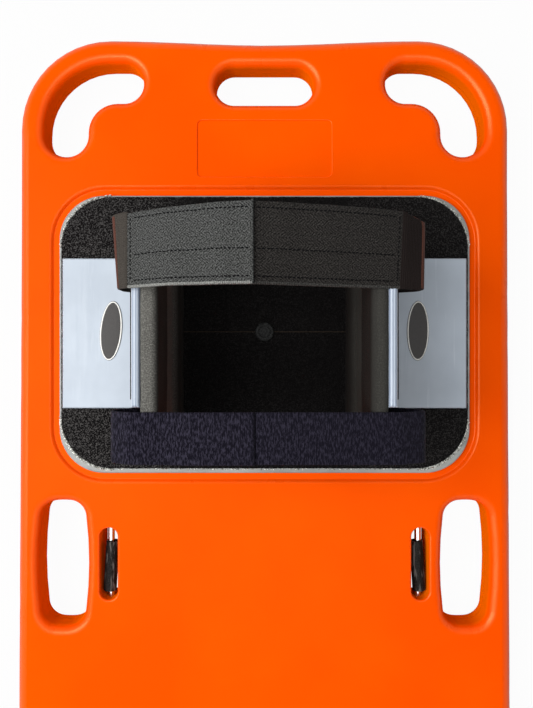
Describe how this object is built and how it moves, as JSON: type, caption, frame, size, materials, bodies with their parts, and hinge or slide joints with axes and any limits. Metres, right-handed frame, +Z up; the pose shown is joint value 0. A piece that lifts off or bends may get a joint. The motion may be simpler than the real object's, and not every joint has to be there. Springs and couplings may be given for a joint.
{
  "type": "spine board with head immobiliser",
  "caption": "Moulded spine board with hand holes, strap pins with loose sleeves, and a head immobiliser of foam blocks joined by a forehead and a chin strap.",
  "frame": {"origin": "middle of the footprint, on the floor under the runners", "axes": "+Y along the board towards the head end, +X to the right seen from above with the head end up, +Z up out of the deck"},
  "size_m": [0.466, 1.829, 0.2502],
  "materials": {
    "board_orange": "smooth moulded, satin sheen",
    "pin_steel": "bright",
    "sleeve_black": "rough black skin with fine flecks",
    "base_grey": "satin",
    "loop_black": "loop pile",
    "stud_black": "satin",
    "bracket_grey": "satin sheet",
    "tape_black": "woven tape",
    "foam_black": "coated foam, matte",
    "badge_grey": "blank, satin",
    "strap_grey": "twill with stitched edges",
    "strap_dark": "woven"
  },
  "bodies": {
    "board": {"board": "board_orange", "clip_pin_left_foot": "pin_steel", "clip_pin_right_foot": "pin_steel", "clip_pin_left_middle": "pin_steel", "clip_pin_right_middle": "pin_steel", "clip_pin_left_head": "pin_steel", "clip_pin_right_head": "pin_steel", "base_plate": "base_grey", "loop_panel_head": "loop_black", "loop_panel_foot": "loop_black", "base_stud": "stud_black"},
    "left_block": {"bracket_left": "bracket_grey", "foot_hook_left": "tape_black", "wall_tape_left": "tape_black", "foam_pad_left": "foam_black", "badge_left": "badge_grey", "forehead_strap_left": "strap_grey", "chin_strap_left": "strap_dark", "chin_anchor_left": "tape_black"},
    "right_block": {"bracket_right": "bracket_grey", "foot_hook_right": "tape_black", "wall_tape_right": "tape_black", "foam_pad_right": "foam_black", "badge_right": "badge_grey", "forehead_strap_right": "strap_grey", "chin_strap_right": "strap_dark", "chin_anchor_right": "tape_black"},
    "sleeve_left_head": {"pin_sleeve_left_head": "sleeve_black"},
    "sleeve_right_head": {"pin_sleeve_right_head": "sleeve_black"},
    "sleeve_left_middle": {"pin_sleeve_left_middle": "sleeve_black"},
    "sleeve_right_middle": {"pin_sleeve_right_middle": "sleeve_black"},
    "sleeve_left_foot": {"pin_sleeve_left_foot": "sleeve_black"},
    "sleeve_right_foot": {"pin_sleeve_right_foot": "sleeve_black"}
  },
  "joints": [
    {"name": "left_block_adjust", "type": "slide", "parent": "board", "child": "left_block", "axis": [-1, 0, 0], "range_m": [0, 0.012]},
    {"name": "right_block_adjust", "type": "slide", "parent": "board", "child": "right_block", "axis": [1, 0, 0], "range_m": [0, 0.012]},
    {"name": "sleeve_left_head_slide", "type": "slide", "parent": "board", "child": "sleeve_left_head", "axis": [0, 1, 0], "range_m": [0, 0.0094]},
    {"name": "sleeve_right_head_slide", "type": "slide", "parent": "board", "child": "sleeve_right_head", "axis": [0, 1, 0], "range_m": [0, 0.0094]},
    {"name": "sleeve_left_middle_slide", "type": "slide", "parent": "board", "child": "sleeve_left_middle", "axis": [0, 1, 0], "range_m": [0, 0.0094]},
    {"name": "sleeve_right_middle_slide", "type": "slide", "parent": "board", "child": "sleeve_right_middle", "axis": [0, 1, 0], "range_m": [0, 0.0094]},
    {"name": "sleeve_left_foot_slide", "type": "slide", "parent": "board", "child": "sleeve_left_foot", "axis": [0, 1, 0], "range_m": [0, 0.0094]},
    {"name": "sleeve_right_foot_slide", "type": "slide", "parent": "board", "child": "sleeve_right_foot", "axis": [0, 1, 0], "range_m": [0, 0.0094]}
  ]
}
